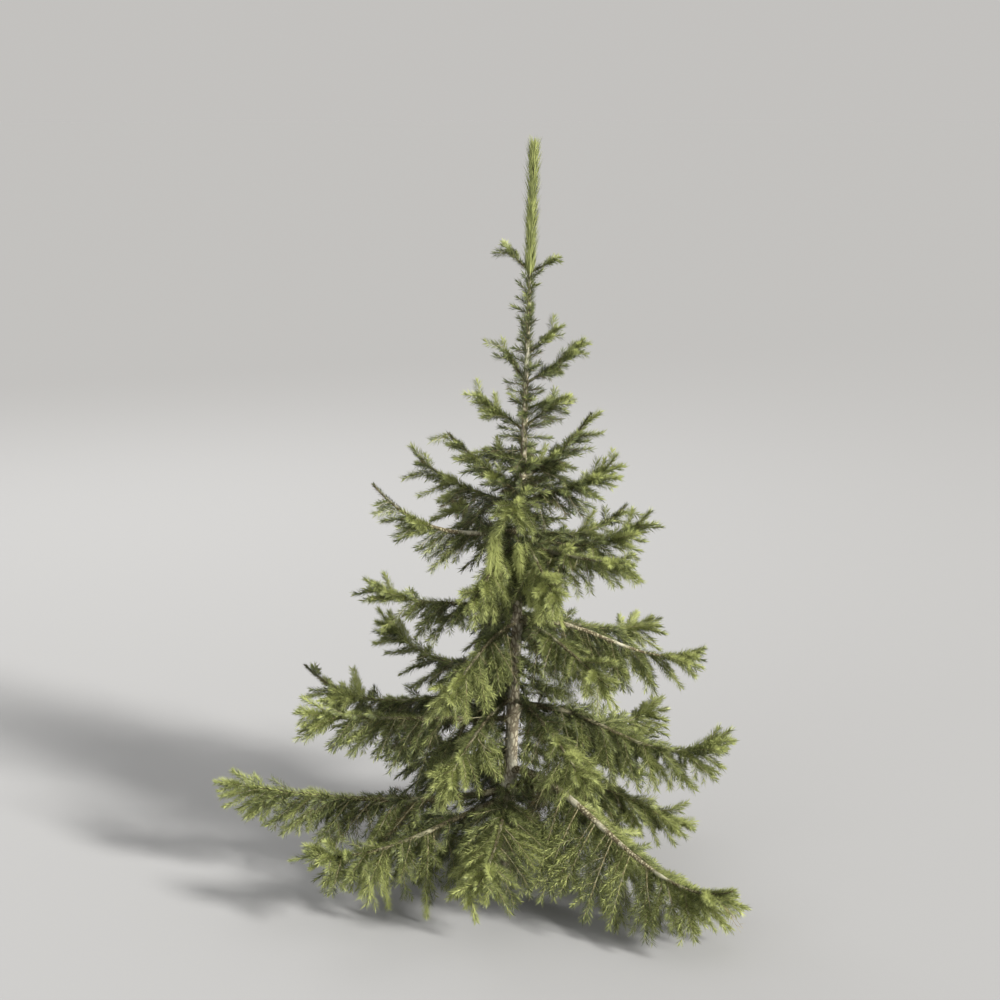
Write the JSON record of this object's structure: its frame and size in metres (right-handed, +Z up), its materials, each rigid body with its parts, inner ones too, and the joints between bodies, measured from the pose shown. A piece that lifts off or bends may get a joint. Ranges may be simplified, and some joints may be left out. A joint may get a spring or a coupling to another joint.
{
  "type": "spruce tree",
  "caption": "Young spruce with a slim top shoot, whorls of drooping boughs that turn up at their tips, and a flared foot rooted in level ground.",
  "frame": {"origin": "centre of the flat cut under the trunk, at ground level", "axes": "+Z up along the trunk; +X to the right and +Y away from a viewer at the picture's side"},
  "size_m": [1.5298, 1.3052, 2.2],
  "materials": {
    "bark": "rough bark",
    "needles": "satin needles"
  },
  "bodies": {
    "root": {"trunk": "bark", "leader": "needles", "limb_fourth_left": "bark", "limb_low_back_left": "bark", "limb_low_back_right": "bark", "limb_low_front": "bark", "limb_low_front_left": "bark", "limb_low_front_right": "bark", "limb_low_left": "bark", "limb_low_right": "bark", "limb_second_back": "bark", "limb_second_back_left": "bark", "limb_second_back_right": "bark", "limb_second_left": "bark", "limb_second_right": "bark", "limb_third_back_right": "bark", "limb_third_left": "bark", "limb_third_right": "bark", "foliage_between_back_left": "needles", "foliage_fifth_back": "needles", "foliage_fifth_back_left": "needles", "foliage_fifth_front": "needles", "foliage_fifth_left_high": "needles", "foliage_fifth_right": "needles", "foliage_fifth_right_high": "needles", "foliage_fourth_back_left": "needles", "foliage_fourth_back_right": "needles", "foliage_fourth_front": "needles", "foliage_fourth_front_left": "needles", "foliage_fourth_front_right": "needles", "foliage_fourth_left": "needles", "foliage_fourth_right": "needles", "foliage_low_back_left": "needles", "foliage_low_back_right": "needles", "foliage_low_front": "needles", "foliage_low_front_left": "needles", "foliage_low_front_right": "needles", "foliage_low_left": "needles", "foliage_low_right": "needles", "foliage_second_back": "needles", "foliage_second_back_left": "needles", "foliage_second_back_right": "needles", "foliage_second_front": "needles", "foliage_second_front_left": "needles", "foliage_second_left": "needles", "foliage_second_right": "needles", "foliage_seventh_left": "needles", "foliage_seventh_right": "needles", "foliage_seventh_right_high": "needles", "foliage_sixth_left": "needles", "foliage_sixth_left_low": "needles", "foliage_sixth_right": "needles", "foliage_third_back": "needles", "foliage_third_back_right": "needles", "foliage_third_front_left": "needles", "foliage_third_front_right": "needles", "foliage_third_left": "needles", "foliage_third_right": "needles", "foliage_top_left": "needles", "foliage_top_right": "needles"}
  },
  "joints": []
}
